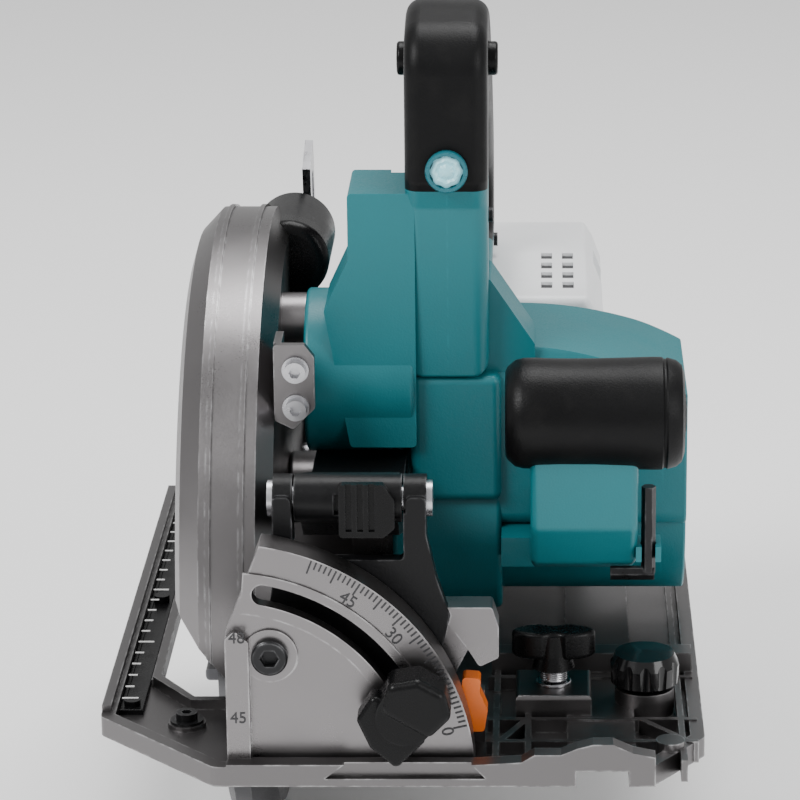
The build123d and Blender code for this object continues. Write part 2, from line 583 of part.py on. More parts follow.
def motor_housing():
    shell = motor_outside() - block(MOTOR_X1, 120, -80, 80, -20, 140)
    shell -= rod_x(MOTOR_Y, MOTOR_Z, FLANGE_R - WALL, FLANGE_X + WALL, 31 - WALL)
    shell -= rod_x(MOTOR_Y, MOTOR_Z, BARREL_R - WALL, 25, MOTOR_X1 + 1)
    shell -= rod_x(MOTOR_Y, MOTOR_Z, 12, FLANGE_X - 1, FLANGE_X + 4)
    shell -= block(UPPER_X0 + 3, MOTOR_X1 + 1, -29.5, 28.5, 79, 88)
    shell -= block(4.1, 28.4, -34.4, 17.4, 66, 96.4)
    for z in (58, 64, 70):
        shell -= block(34, 78, 28, 36, z - 1.2, z + 1.2)
    return shell.solids().sort_by(SortBy.VOLUME)[-1]


def motor_end_cap():
    cap = motor_outside() & block(MOTOR_X1, 120, -80, 80, -20, 140)
    cap = soft_side(cap, Axis.X, 3)
    cap -= rod_x(MOTOR_Y, MOTOR_Z, 11, MOTOR_X1 - 9, MOTOR_X1 + 2)
    for row in range(5):
        z = MOTOR_Z - 16 + 8 * row
        cap -= block(MOTOR_X1 + 4.5, CAP_X1 + 1, MOTOR_Y - 18, MOTOR_Y + 18, z - 1.6, z + 1.6)
    cap += ring_x(MOTOR_Y, MOTOR_Z, 13.5, 11, 75.5, MOTOR_X1)
    return cap


def stator():
    core = ring_x(MOTOR_Y, MOTOR_Z, BARREL_R - WALL - 0.1, 15.8, CORE_X0, CORE_X1)
    for pole in range(6):
        angle = 60 * pole + 30
        window = Pos(MOTOR_Y, MOTOR_Z) * arc_band(0, 0, 17.6, 24.2, angle - 16, angle + 16)
        core -= slab_x(window, CORE_X0 - 1, CORE_X1 + 1)
    return core


def stator_coils():
    coils = []
    for pole in range(6):
        angle = 60 * pole + 30
        bundle = Pos(MOTOR_Y, MOTOR_Z) * arc_band(0, 0, 17.8, 24.0, angle - 15.5, angle + 15.5)
        coils.append(slab_x(bundle, CORE_X0 - 3, CORE_X1 + 3))
    return Compound(children=coils)


LOOP = [(-38, 99, 1), (-41, 156, 4), (-44, 165, 4), (-43, 212, 16), (-14, 219, 40), (30, 210, 120),
        (84, 180, 120), (122, 146, 24), (124, 105, 8), (30, 105, 2), (12, 99, 2)]
LOOP_GAP = [(-15, 178, 8), (10, 185, 14), (62, 161, 60), (99, 132, 8), (95, 116, 7), (-4, 116, 7),
            (-17, 130, 12)]
GRIP_REGION = [(-60, 162.3), (-14, 162.3), (6, 150), (86, 112), (150, 112), (150, 240), (-60, 240)]


def loop_shape(inset):
    """The handle's side outline with its hand gap, shrunk all round by inset."""
    outer = curved_outline(LOOP)
    gap = curved_outline(LOOP_GAP)
    if inset:
        return offset(outer, -inset) - offset(gap, inset)
    return outer - gap


def riser():
    """Wide front post of the handle, with the neck that reaches to the blade case."""
    edges = [(-18, 76), (-26, 122), (-18, 139), (-18, 161), (HANDLE_X0 + 3, 161), (HANDLE_X0 + 3, 76)]
    post = slab_y(outline(edges, 1.5), -40.5, -8)
    neck = soft_sides(rod_x(NECK_Y, NECK_Z, NECK_R, -33, 3), Axis.X, 1.5)
    return post + neck


def gusset():
    """Sloping web between the handle's front post and the motor hood."""
    return slab_y(outline([(HANDLE_X1 - 1, 84), (HANDLE_X1 - 1, 132), (42, 108), (42, 84)], 1), -30, -6)


def tail_box():
    """Rear housing beside the battery."""
    box = slab_x(outline([(30, 40), (30, 108), (122, 108), (128, 98), (128, 40)], 4), -22, -8)
    bridge = block(-14, 3, 52, 118, 104, 114)
    link = slab_x(outline([(-12, 72), (-12, 96), (34, 96), (34, 60), (24, 60)], 2), -22, -8)
    return box + bridge + link


def handle_outside():
    loop = soft_sides(slab_x(loop_shape(0), HANDLE_X0, HANDLE_X1), Axis.X, 5)
    body = loop + riser() + gusset() + tail_box()
    body -= rod_x(MOTOR_Y, MOTOR_Z, FLANGE_R, FLANGE_X, 31)
    body -= hull_x(((SPINDLE_Y, SPINDLE_Z, HOUSING_R), (MOTOR_Y, MOTOR_Z, 25.4)), -41, FLANGE_X)
    return body - front_block() - upper_hood() - rod_x(MOTOR_Y, MOTOR_Z, BARREL_R, 25, 90)


def handle_cuts():
    """What is cut from shells and skin alike: trigger slot, lock button, lamp."""
    cuts = block(7.4, 20.6, -13, 18, 168, 196)
    cuts += rod_x(-12, 199, 5.9, -5, 35)
    cuts += rod_y(SEAM_X, 169.5, 6.2, -60, -34)
    return cuts


def handle_cavity():
    hollow = slab_x(loop_shape(SKIN + WALL), HANDLE_X0 + SKIN + WALL, HANDLE_X1 - SKIN - WALL)
    hollow += block(-15, 8, -37.5, -11, 100, 158)
    hollow += rod_x(NECK_Y, NECK_Z, NECK_R - WALL, -30, 3)
    hollow += block(-19.4, -10.6, 33, 125, 43, 95)
    return hollow


def handle_core():
    core = handle_outside()
    grip_zone = slab_x(outline(GRIP_REGION), -5, 35)
    inner = slab_x(loop_shape(SKIN), HANDLE_X0 + SKIN, HANDLE_X1 - SKIN)
    return core - (grip_zone - inner) - handle_cavity() - handle_cuts()


def handle_left():
    half = handle_core() & block(-60, SEAM_X, -100, 200, 0, 260)
    return half.solids().sort_by(SortBy.VOLUME)[-1]


def handle_right():
    half = handle_core() & block(SEAM_X, 80, -100, 200, 0, 260)
    return half.solids().sort_by(SortBy.VOLUME)[-1]


def handle_grip():
    zone = slab_x(outline(GRIP_REGION), -5, 35)
    inner = slab_x(loop_shape(SKIN), HANDLE_X0 + SKIN, HANDLE_X1 - SKIN)
    loop = soft_sides(slab_x(loop_shape(0), HANDLE_X0, HANDLE_X1), Axis.X, 5)
    skin = (loop & zone) - inner - handle_cuts()
    return skin.solids().sort_by(SortBy.VOLUME)[-1]


def trigger():
    shape = outline([(-11, 190), (-9, 193), (14, 188), (15, 170), (4, 165), (-8, 172)], 2)
    return slab_x(shape, 8, 20)


def lock_off():
    bar = rod_x(-12, 199, 3.5, -1, 28.5)
    for x0, x1 in ((-2.6, 2.4), (25.1, 30.1)):
        bar += soft_sides(rod_x(-12, 199, 5.5, x0, x1), Axis.X, 1)
    return bar


def led_lens():
    lens = rod_y(SEAM_X, 169.5, 6.1, -45.4, -41)
    return soft_side(lens, Axis.Y, 1.2, last=False)


def switch_unit():
    return softened_block(9.5, 18.5, 26, 44, 185, 194.5)


def softened_block(x0, x1, y0, y1, z0, z1):
    body = block(x0, x1, y0, y1, z0, z1)
    return softened(body, body.edges(), 1.0)


def control_board():
    return softened_block(34, 80, -27, 26, 80.5, 85)


def housing_screws():
    """Socket screws along the right side of the handle."""
    screws = []
    for y, z in ((-24, 150), (46, 109), (100, 109)):
        head = rod_x(y, z, 2.4, HANDLE_X1, HANDLE_X1 + 1.4)
        screws.append(head - slab_x(Pos(y, z) * RegularPolygon(1.4, 6), HANDLE_X1 + 0.4, HANDLE_X1 + 2))
    return Compound(children=screws)


# ---- front grip ---------------------------------------------------------------------------
GRIP_Y, GRIP_Z, GRIP_R = -77.0, 99.0, 17.6


def grip_post():
    post = slab_x(outline([(-88, 92), (-66, 92), (-62, 68), (-44, 60), (-20, 62), (-20, 34), (-50, 38),
                           (-80, 50), (-88, 64)], 4), 40.7, 74.5)
    post = soft_sides(post, Axis.X, 2.5)
    post += block(31, 44, -44, -20, 36, 46)
    post += rod_x(GRIP_Y, GRIP_Z, 9, 36, 86)
    post += clip()
    post -= rod_x(MOTOR_Y, MOTOR_Z, BARREL_R, 25, 95)
    post -= rod_x(MOTOR_Y, MOTOR_Z, FLANGE_R, FLANGE_X, 31)
    return (post - upper_hood()).solids().sort_by(SortBy.VOLUME)[-1]


def clip():
    """Open clip that holds the hex key."""
    body = block(74, 82, -84, -72, 52, 57)
    return body - rod_z(78, -80, 2.6, 50, 60) - block(75.8, 80.2, -90, -80, 50, 60)


def front_grip():
    x0, x1 = 32.8, 89.0
    points = [(x0, 0), (x0, 14.2), (x0 + 3.2, GRIP_R - 0.6), (x0 + 9, GRIP_R), (x1 - 26, GRIP_R + 0.4),
              (x1 - 8, GRIP_R - 0.2), (x1 - 3, GRIP_R - 2), (x1, 13), (x1, 0)]
    grip = turned_x(points, GRIP_Y, GRIP_Z)
    return grip - grip_post()


def hex_key():
    leg = slab_z(Pos(78, -80) * RegularPolygon(2.3, 6), 47, 76)
    foot = slab_x(Pos(-80, 47) * RegularPolygon(2.3, 6), 66, 80)
    return leg + foot


# ---- battery ------------------------------------------------------------------------------
PACK_Y0, PACK_Y1 = 44.0, 150.0


def battery_mount():
    plate = block(-8, -4.5, PACK_Y0 + 2, 126, 34, 93)
    for low, high, hook_low, hook_high in ((34, 39.4, 34, 43.4), (87.6, 93, 83.6, 93)):
        plate += block(-8, 2.2, PACK_Y0 + 2, 126, low, high)
        plate += block(-0.4, 2.2, PACK_Y0 + 2, 126, hook_low, hook_high)
    for z in (54, 63.5, 73):
        plate += block(-4.5, -2.5, PACK_Y0 + 4, 60, z - 0.8, z + 0.8)
    return plate


def battery():
    shape = outline([(3, 24), (3, 103), (60, 103), (63, 98), (66, 90), (66, 37), (63, 29), (60, 24)], 2)
    case = soft_sides(slab_y(shape, PACK_Y0, PACK_Y1), Axis.Y, 3)
    case += slab_y(outline([(-1, 44), (-1, 40), (-4, 40), (-4, 87), (-1, 87), (-1, 83), (3.5, 83),
                            (3.5, 44)]), 64, PACK_Y1 - 1)
    for y in (60, 73, 86, 99):
        for x in (46, 53.5):
            case -= block(x - 2, x + 2, y - 4, y + 4, 101.6, 105)
    case -= block(63, 70, 108, 128, 20, 110)
    case -= block(20, 48, PACK_Y1 - 6, PACK_Y1 + 2, 46, 80)
    return case


def battery_button():
    return softened_block(20.5, 47.5, PACK_Y1 - 2, PACK_Y1 + 2, 46.5, 79.5)


# ---- depth clamp --------------------------------------------------------------------------
def depth_bolt():
    square = block(-43.5, -41, BOLT_Y - 3.9, BOLT_Y + 3.9, BOLT_Z - 3.9, BOLT_Z + 3.9)
    shoulder = rod_x(BOLT_Y, BOLT_Z, 6.5, -41, -40)
    return square + shoulder + rod_x(BOLT_Y, BOLT_Z, GUIDE_BOLT_R, -40, -25.5)


def depth_lever():
    hub = rod_x(BOLT_Y, BOLT_Z, 8.5, -36.2, -26)
    arm = slab_x(outline([(BOLT_Y - 5, BOLT_Z - 6), (BOLT_Y + 5, BOLT_Z - 6), (BOLT_Y + 42, BOLT_Z + 3),
                          (BOLT_Y + 44, BOLT_Z + 9), (BOLT_Y + 36, BOLT_Z + 9), (BOLT_Y, BOLT_Z + 8)], 2),
                 -33, -26.5)
    lever = hub + soft_sides(arm, Axis.X, 1)
    return lever - rod_x(BOLT_Y, BOLT_Z, GUIDE_BOLT_R + RUN, -40, -25)


# ---- turning parts ------------------------------------------------------------------------
def saw_blade():
    points = []
    for tooth in range(TOOTH_COUNT):
        start = 2 * pi * tooth / TOOTH_COUNT
        for radius, share in ((BLADE_R - 1.2, 0.0), (BLADE_R - 2.6, 0.30), (BLADE_R - 4.6, 0.52),
                              (BLADE_R - 9.5, 0.66), (BLADE_R - 12.0, 0.80), (BLADE_R - 10.5, 0.92),
                              (BLADE_R - 4.4, 0.975)):
            angle = start + share * 2 * pi / TOOTH_COUNT
            points.append((SPINDLE_Y + radius * cos(angle), SPINDLE_Z + radius * sin(angle)))
    disc = slab_x(outline(points), BLADE_X - BLADE_T / 2, BLADE_X + BLADE_T / 2)
    disc -= rod_x(SPINDLE_Y, SPINDLE_Z, 10, -60, -45)
    for slot in range(4):
        angle = radians(90 * slot + 41)
        relief = Pos(SPINDLE_Y + 78 * cos(angle), SPINDLE_Z + 78 * sin(angle)) * Circle(1.6)
        disc -= slab_x(relief, -60, -45)
    for tip in tip_solids():
        disc -= tip
    return disc.solids().sort_by(SortBy.VOLUME)[-1]


def tip_solids():
    """Carbide tips, one at each tooth."""
    tips = []
    for tooth in range(TOOTH_COUNT):
        turn = 360 * tooth / TOOTH_COUNT
        tip = slab_x(outline([(BLADE_R, -0.3), (BLADE_R - 0.9, 2.0), (BLADE_R - 1.35, 2.0),
                              (BLADE_R - 1.2, 0.05), (BLADE_R - 4.6, -0.45), (BLADE_R - 4.4, -2.0)]),
                     BLADE_X - 1, BLADE_X + 1)
        tips.append(Pos(0, SPINDLE_Y, SPINDLE_Z) * Rot(turn, 0, 0) * tip)
    return tips


def blade_tips():
    return Compound(children=tip_solids())


def inner_flange():
    flange = rod_x(SPINDLE_Y, SPINDLE_Z, 16.4, BLADE_X + 0.7, -46.8)
    flange += rod_x(SPINDLE_Y, SPINDLE_Z, 10, BLADE_X - 0.7, BLADE_X + 0.7)
    return flange - rod_x(SPINDLE_Y, SPINDLE_Z, 6, -60, -40)


def outer_flange():
    flange = turned_x([(-57.2, 0), (-57.2, 10), (-55.5, 16.4), (-52.7, 16.4), (-52.7, 0)],
                      SPINDLE_Y, SPINDLE_Z)
    return flange - rod_x(SPINDLE_Y, SPINDLE_Z, 4, -60, -50)


def blade_bolt():
    head = slab_x(Pos(SPINDLE_Y, SPINDLE_Z) * RegularPolygon(7.6, 6), -62.6, -58.4)
    washer = rod_x(SPINDLE_Y, SPINDLE_Z, 9, -58.4, -57.2)
    shank = rod_x(SPINDLE_Y, SPINDLE_Z, 4, -57.2, -40)
    return head + washer + shank - slab_x(Pos(SPINDLE_Y, SPINDLE_Z) * RegularPolygon(3, 6), -64, -60)


def spindle():
    shaft = rod_x(SPINDLE_Y, SPINDLE_Z, 6, BLADE_X - 0.7, -12.8)
    return shaft - rod_x(SPINDLE_Y, SPINDLE_Z, 4, -60, -39.8)


def spindle_gear():
    return gear_x(SPINDLE_Y, SPINDLE_Z, GEAR_TEETH, -30, -22, 6, MOTOR_DEG)


def rotor_shaft():
    phase = MOTOR_DEG + 180 + 180 / PINION_TEETH
    pinion = gear_x(MOTOR_Y, MOTOR_Z, PINION_TEETH, -30, -22, 2, phase)
    shaft = rod_x(MOTOR_Y, MOTOR_Z, 4, -20.5, 82.8) + rod_x(MOTOR_Y, MOTOR_Z, 3.6, -31, -20.5)
    return shaft + pinion


def rotor_core():
    core = ring_x(MOTOR_Y, MOTOR_Z, 15.0, 4, CORE_X0, CORE_X1)
    for magnet in range(4):
        angle = radians(90 * magnet + 45)
        hole = Pos(MOTOR_Y + 10 * cos(angle), MOTOR_Z + 10 * sin(angle)) * Circle(1.5)
        core -= slab_x(hole, CORE_X0 - 1, CORE_X1 + 1)
    return core


def fan():
    wheel = ring_x(MOTOR_Y, MOTOR_Z, 33, 4, FAN_X0, FAN_X0 + 2) + ring_x(MOTOR_Y, MOTOR_Z, 9, 4, FAN_X0, FAN_X1)
    for vane in range(11):
        plate = block(FAN_X0 + 1, FAN_X1 - 1, 8, 32, -0.8, 0.8)
        wheel += Pos(0, MOTOR_Y, MOTOR_Z) * Rot(360 * vane / 11, 0, 0) * plate
    return wheel


# ---- lower guard --------------------------------------------------------------------------
def lower_guard():
    wall = 1.2
    points = [(-60, 30), (-60, GUARD_R - 3), (-57.5, GUARD_R), (-52, GUARD_R), (-44, GUARD_R - 6),
              (-44, BOSS_R + RUN), (-44 - wall, BOSS_R + RUN), (-44 - wall, GUARD_R - 6 - 0.4),
              (-52.2, GUARD_R - wall), (-57, GUARD_R - wall), (-60 + wall, GUARD_R - 3.6), (-60 + wall, 30)]
    shell = turned_x(points, SPINDLE_Y, SPINDLE_Z)
    reach = 300
    start, stop = radians(176), radians(364)
    keep = outline([(SPINDLE_Y, SPINDLE_Z),
                    (SPINDLE_Y + reach * cos(start), SPINDLE_Z + reach * sin(start)),
                    (SPINDLE_Y - reach, SPINDLE_Z - reach), (SPINDLE_Y + reach, SPINDLE_Z - reach),
                    (SPINDLE_Y + reach * cos(stop), SPINDLE_Z + reach * sin(stop))])
    hub = ring_x(SPINDLE_Y, SPINDLE_Z, 24, BOSS_R + RUN, -44 - wall, -44)
    guard = (shell & slab_x(keep, -70, -40)) + hub
    angle = radians(203)
    lever_y = SPINDLE_Y + 66 * cos(angle)
    lever_z = SPINDLE_Z + 66 * sin(angle)
    guard += soft_side(block(-66.5, -59.5, lever_y - 8, lever_y + 8, lever_z - 2, lever_z + 2), Axis.X, 1.5,
                       last=False)
    return guard


def guard_spring():
    """Tension spring that closes the lower guard, as closed rings on a line."""
    rings = [Pos(-63, -34 + 2.0 * turn, 74) * Rot(90, 0, 0) * Torus(2.0, 0.45) for turn in range(16)]
    return Compound(children=rings)


# ---- write every piece --------------------------------------------------------------------
PIECES = (
    base_plate, bevel_sector, base_screws, edge_scale, stop_dial, shift_lever, wing_screw, wing_spring,
    rail_knob, rear_sector, bevel_bracket, bevel_pointer, hinge_pin, bevel_clamp_lever, depth_guide,
    rear_bracket, rear_bolt, blade_case, dust_nozzle, case_bracket, case_screws, pivot_arm,
    shaft_lock_slide, gear_housing, gear_cover, spindle_bearings, motor_bearings, motor_housing,
    motor_end_cap, stator, stator_coils, handle_left, handle_right, handle_grip, trigger, lock_off,
    led_lens, switch_unit, control_board, housing_screws, grip_post, front_grip, hex_key, battery_mount,
    battery, battery_button, depth_bolt, depth_lever, saw_blade, blade_tips, inner_flange, outer_flange,
    blade_bolt, spindle, spindle_gear, rotor_shaft, rotor_core, fan, lower_guard, guard_spring,
)

for piece in PIECES:
    save(piece.__name__, piece())
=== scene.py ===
import bpy
import bmesh
from math import cos, pi, radians, sin
from mathutils import Matrix, Vector


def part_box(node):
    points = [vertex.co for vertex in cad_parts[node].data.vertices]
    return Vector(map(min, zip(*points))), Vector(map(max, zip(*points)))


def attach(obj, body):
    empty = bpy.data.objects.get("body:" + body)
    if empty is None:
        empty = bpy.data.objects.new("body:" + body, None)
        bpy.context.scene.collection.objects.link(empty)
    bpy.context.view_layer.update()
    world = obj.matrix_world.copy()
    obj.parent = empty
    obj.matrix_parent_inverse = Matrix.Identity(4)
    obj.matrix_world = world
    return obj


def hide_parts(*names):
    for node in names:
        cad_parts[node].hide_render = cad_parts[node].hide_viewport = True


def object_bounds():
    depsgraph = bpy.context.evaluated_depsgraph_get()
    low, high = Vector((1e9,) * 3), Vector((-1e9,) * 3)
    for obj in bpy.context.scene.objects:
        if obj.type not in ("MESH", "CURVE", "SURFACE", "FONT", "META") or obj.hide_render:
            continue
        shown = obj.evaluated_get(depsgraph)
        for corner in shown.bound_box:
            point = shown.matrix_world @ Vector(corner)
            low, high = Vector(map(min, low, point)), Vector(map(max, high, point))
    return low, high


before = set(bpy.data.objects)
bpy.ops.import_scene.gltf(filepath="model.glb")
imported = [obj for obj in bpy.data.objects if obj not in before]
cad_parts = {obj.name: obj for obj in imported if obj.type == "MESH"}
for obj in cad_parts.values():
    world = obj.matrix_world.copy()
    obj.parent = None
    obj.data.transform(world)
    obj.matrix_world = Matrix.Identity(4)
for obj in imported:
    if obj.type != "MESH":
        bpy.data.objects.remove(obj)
CAD_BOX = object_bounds()

bl_info = {
    "name": "Circular saw finisher",
    "version": (1, 0, 0),
    "blender": (4, 5, 0),
    "location": "3D View > Sidebar > Saw",
    "description": "Finishes and fine details of a cordless circular saw",
    "category": "Object",
}

# ---- fixed values, in metres, degrees and watts -----------------------------------------------
CAMERA_PLACE = (0.044, -1.1772, 0.4462)
CAMERA_DIP = 17.3
CAMERA_LENS = 165.15
CAMERA_SHIFT = -0.17625
LAMP_AIM = Vector((0, 0, 0.08))
STUDIO_LAMPS = (("key", (-1.0, -0.9, 1.2), 0.7, 26), ("fill", (1.2, -1.0, 0.7), 0.8, 11),
                ("top", (0.2, 0.4, 1.6), 1.0, 24))
FLOOR_GAP = 0.0006
GRAIN_RELIEF = 0.0002
WORN_EDGE = 0.0009
DUST_COLOUR = (0.42, 0.40, 0.37, 1)
INDEX_OF_PLASTIC = 1.5
SCALE_STEP = 0.003
MARK_ARC = 0.0752
NUMBER_ARC = 0.0689
STOP_NUMBER_X = -0.0483


# ---- settings ---------------------------------------------------------------------------------
def colour(label, words, value):
    return bpy.props.FloatVectorProperty(
        name=label, description=words, default=value, size=4, min=0, max=1, subtype="COLOR")


def length(label, words, value):
    return bpy.props.FloatProperty(name=label, description=words, default=value, unit="LENGTH")


class SawColours(bpy.types.PropertyGroup):
    housing: colour("Housing", "Moulded housing and handle shells", (0.0003, 0.135, 0.158, 1))
    rubber: colour("Rubber", "Soft skin of the handle and front grip", (0.003, 0.003, 0.0033, 1))
    plastic: colour("Black plastic", "Levers, nozzle and battery rails", (0.004, 0.004, 0.0043, 1))
    casting: colour("Casting", "Blade case and gear housing", (0.20, 0.191, 0.193, 1))
    base: colour("Base", "Cast base of the saw", (0.15, 0.144, 0.145, 1))
    steel: colour("Steel", "Ground steel pieces", (0.55, 0.55, 0.57, 1))
    accent: colour("Accent", "Small setting lever", (0.80, 0.16, 0.012, 1))
    battery: colour("Battery", "Shell of the battery", (0.80, 0.81, 0.82, 1))
    lens: colour("Lamp lens", "Lens of the work lamp", (0.25, 0.62, 0.68, 1))


class SawSizes(bpy.types.PropertyGroup):
    mark_width: length("Mark width", "Width of a raised mark", 0.0005)
    mark_height: length("Mark height", "How far a mark stands off its face", 0.00012)
    text_height: length("Number height", "Height of the scale numbers", 0.0054)


def colours():
    return bpy.context.scene.saw_colours


def sizes():
    return bpy.context.scene.saw_sizes


# ---- materials --------------------------------------------------------------------------------
def shader_maths(nodes, links, kind, first, second):
    node = nodes.new("ShaderNodeMath")
    node.operation = kind
    for socket, value in zip(node.inputs, (first, second)):
        if isinstance(value, (int, float)):
            socket.default_value = value
        else:
            links.new(value, socket)
    return node.outputs[0]


def noise(nodes, links, place, scale, detail, stretch=(1, 1, 1)):
    mapping = nodes.new("ShaderNodeMapping")
    mapping.inputs["Scale"].default_value = stretch
    links.new(place, mapping.inputs["Vector"])
    node = nodes.new("ShaderNodeTexNoise")
    node.inputs["Scale"].default_value = scale
    node.inputs["Detail"].default_value = detail
    links.new(mapping.outputs[0], node.inputs["Vector"])
    return node.outputs["Fac"]


def blend_colour(nodes, links, share, first, second):
    node = nodes.new("ShaderNodeMix")
    node.data_type = "RGBA"
    node.blend_type = "MIX"
    if isinstance(share, (int, float)):
        node.inputs["Factor"].default_value = share
    else:
        links.new(share, node.inputs["Factor"])
    for socket, value in ((node.inputs["A"], first), (node.inputs["B"], second)):
        if isinstance(value, (tuple, list)):
            socket.default_value = value
        else:
            links.new(value, socket)
    return node.outputs["Result"]


def remap(nodes, links, value, low, high, out_low, out_high):
    node = nodes.new("ShaderNodeMapRange")
    links.new(value, node.inputs["Value"])
    for key, number in (("From Min", low), ("From Max", high), ("To Min", out_low), ("To Max", out_high)):
        node.inputs[key].default_value = number
    return node.outputs["Result"]


def make_finish(name, base, rough, metal=0.0, grain=900, bump=0.15, mottle=0.12, stretch=(1, 1, 1),
                wear=0.0, wear_colour=(0.7, 0.7, 0.7, 1), coat=0.0, dust=0.0, transmission=0.0,
                specular=0.5):
    """A worn workshop finish: blotchy colour, fine grain in bump and gloss, and bare edges."""
    material = bpy.data.materials.new(name)
    material.use_nodes = True
    nodes, links = material.node_tree.nodes, material.node_tree.links
    shader = nodes["Principled BSDF"]
    place = nodes.new("ShaderNodeTexCoord").outputs["Object"]
    blotch = noise(nodes, links, place, 38, 4)
    fine = noise(nodes, links, place, grain, 3, stretch)
    dark = tuple(c * (1 - mottle) for c in base[:3]) + (1,)
    light = tuple(min(1, c * (1 + mottle)) for c in base[:3]) + (1,)
    paint = blend_colour(nodes, links, remap(nodes, links, blotch, 0.3, 0.7, 0, 1), dark, light)
    speck = blend_colour(nodes, links, remap(nodes, links, fine, 0.35, 0.65, 0, 1), dark, light)
    paint = blend_colour(nodes, links, 0.35, paint, speck)
    if dust:
        pale = noise(nodes, links, place, 120, 6)
        share = remap(nodes, links, pale, 0.52, 0.78, 0, dust)
        paint = blend_colour(nodes, links, share, paint, DUST_COLOUR)
    if wear:
        soft = nodes.new("ShaderNodeBevel")
        soft.samples = 4
        soft.inputs["Radius"].default_value = WORN_EDGE
        hard = nodes.new("ShaderNodeNewGeometry")
        dot = nodes.new("ShaderNodeVectorMath")
        dot.operation = "DOT_PRODUCT"
        links.new(soft.outputs[0], dot.inputs[0])
        links.new(hard.outputs["Normal"], dot.inputs[1])
        edge = remap(nodes, links, dot.outputs["Value"], 0.995, 0.90, 0, 1)
        patchy = remap(nodes, links, noise(nodes, links, place, 210, 5), 0.42, 0.62, 0, 1)
        bare = shader_maths(nodes, links, "MULTIPLY", edge, patchy)
        share = shader_maths(nodes, links, "MULTIPLY", bare, wear)
        paint = blend_colour(nodes, links, share, paint, wear_colour)
    links.new(paint, shader.inputs["Base Color"])
    gloss = shader_maths(nodes, links, "ADD", remap(nodes, links, blotch, 0.3, 0.7, -0.05, 0.05),
                         remap(nodes, links, fine, 0.3, 0.7, rough - 0.04, rough + 0.05))
    links.new(gloss, shader.inputs["Roughness"])
    raised = nodes.new("ShaderNodeBump")
    raised.inputs["Strength"].default_value = bump
    raised.inputs["Distance"].default_value = GRAIN_RELIEF
    links.new(fine, raised.inputs["Height"])
    links.new(raised.outputs[0], shader.inputs["Normal"])
    shader.inputs["Metallic"].default_value = metal
    shader.inputs["Coat Weight"].default_value = coat
    shader.inputs["Coat Roughness"].default_value = 0.15
    shader.inputs["Transmission Weight"].default_value = transmission
    shader.inputs["IOR"].default_value = INDEX_OF_PLASTIC
    shader.inputs["Specular IOR Level"].default_value = specular
    return material


def finish_table():
    c = colours()
    return {
        "housing": dict(base=c.housing, rough=0.42, grain=1500, bump=0.35, mottle=0.05, wear=0.15,
                        wear_colour=(0.03, 0.33, 0.38, 1)),
        "rubber": dict(base=c.rubber, rough=0.40, grain=1900, bump=0.4, mottle=0.15, dust=0.008,
                       specular=0.15),
        "plastic": dict(base=c.plastic, rough=0.30, specular=0.16, grain=1300, bump=0.25, mottle=0.12,
                        wear=0.2, wear_colour=(0.05, 0.05, 0.052, 1)),
        "gloss black": dict(base=c.plastic, rough=0.12, grain=700, bump=0.06, mottle=0.1, coat=0.25,
                            specular=0.3),
        "casting": dict(base=c.casting, rough=0.33, metal=1.0, grain=2300, bump=0.04, mottle=0.035, wear=0.5,
                        wear_colour=(0.62, 0.62, 0.63, 1)),
        "base casting": dict(base=c.base, rough=0.36, metal=1.0, grain=2100, bump=0.06, mottle=0.05, wear=0.6,
                             wear_colour=(0.60, 0.60, 0.60, 1)),
        "sector": dict(base=(0.215, 0.205, 0.207, 1), rough=0.33, metal=1.0, grain=2200, bump=0.02,
                       mottle=0.03, wear=0.4, wear_colour=(0.85, 0.85, 0.85, 1)),
        "ground steel": dict(base=c.steel, rough=0.28, metal=1.0, grain=500, bump=0.12, mottle=0.07,
                             stretch=(1, 0.06, 1)),
        "blade steel": dict(base=(0.62, 0.62, 0.63, 1), rough=0.25, metal=1.0, grain=420, bump=0.1,
                            mottle=0.08, stretch=(1, 1, 0.08)),
        "carbide": dict(base=(0.20, 0.20, 0.215, 1), rough=0.32, metal=1.0, grain=2200, bump=0.2),
        "black oxide": dict(base=(0.018, 0.018, 0.019, 1), rough=0.34, metal=0.7, grain=800, bump=0.15,
                            wear=0.4, wear_colour=(0.3, 0.3, 0.31, 1)),
        "guard zinc": dict(base=(0.075, 0.075, 0.08, 1), rough=0.33, metal=0.9, grain=1600, bump=0.06,
                           mottle=0.18, stretch=(1, 0.1, 1), wear=0.5, wear_colour=(0.4, 0.4, 0.41, 1)),
        "black paint": dict(base=(0.005, 0.005, 0.0055, 1), rough=0.34, specular=0.18, grain=950,
                            bump=0.25, wear=0.35, wear_colour=(0.25, 0.25, 0.26, 1)),
        "accent": dict(base=c.accent, rough=0.35, grain=1200, bump=0.2, mottle=0.05),
        "lens": dict(base=c.lens, rough=0.12, grain=900, bump=0.05, mottle=0.05, transmission=0.55, coat=0.5),
        "battery": dict(base=c.battery, rough=0.40, grain=1500, bump=0.3, mottle=0.03),
        "copper wire": dict(base=(0.45, 0.16, 0.05, 1), rough=0.3, metal=0.8, grain=2600, bump=0.6,
                            stretch=(0.1, 1, 1)),
        "circuit board": dict(base=(0.01, 0.09, 0.035, 1), rough=0.3, grain=600, bump=0.2, coat=0.3),
        "laminations": dict(base=(0.22, 0.22, 0.23, 1), rough=0.4, metal=0.9, grain=1400, bump=0.6,
                            stretch=(1, 0.05, 0.05)),
        "mark black": dict(base=(0.02, 0.02, 0.022, 1), rough=0.5, grain=900, bump=0.1),
        "mark white": dict(base=(0.72, 0.72, 0.71, 1), rough=0.5, grain=900, bump=0.1),
        "label": dict(base=(0.60, 0.63, 0.66, 1), rough=0.3, grain=1600, bump=0.1, mottle=0.03),
        "lamp ring": dict(base=(0.004, 0.11, 0.14, 1), rough=0.25, grain=900, bump=0.1),
    }


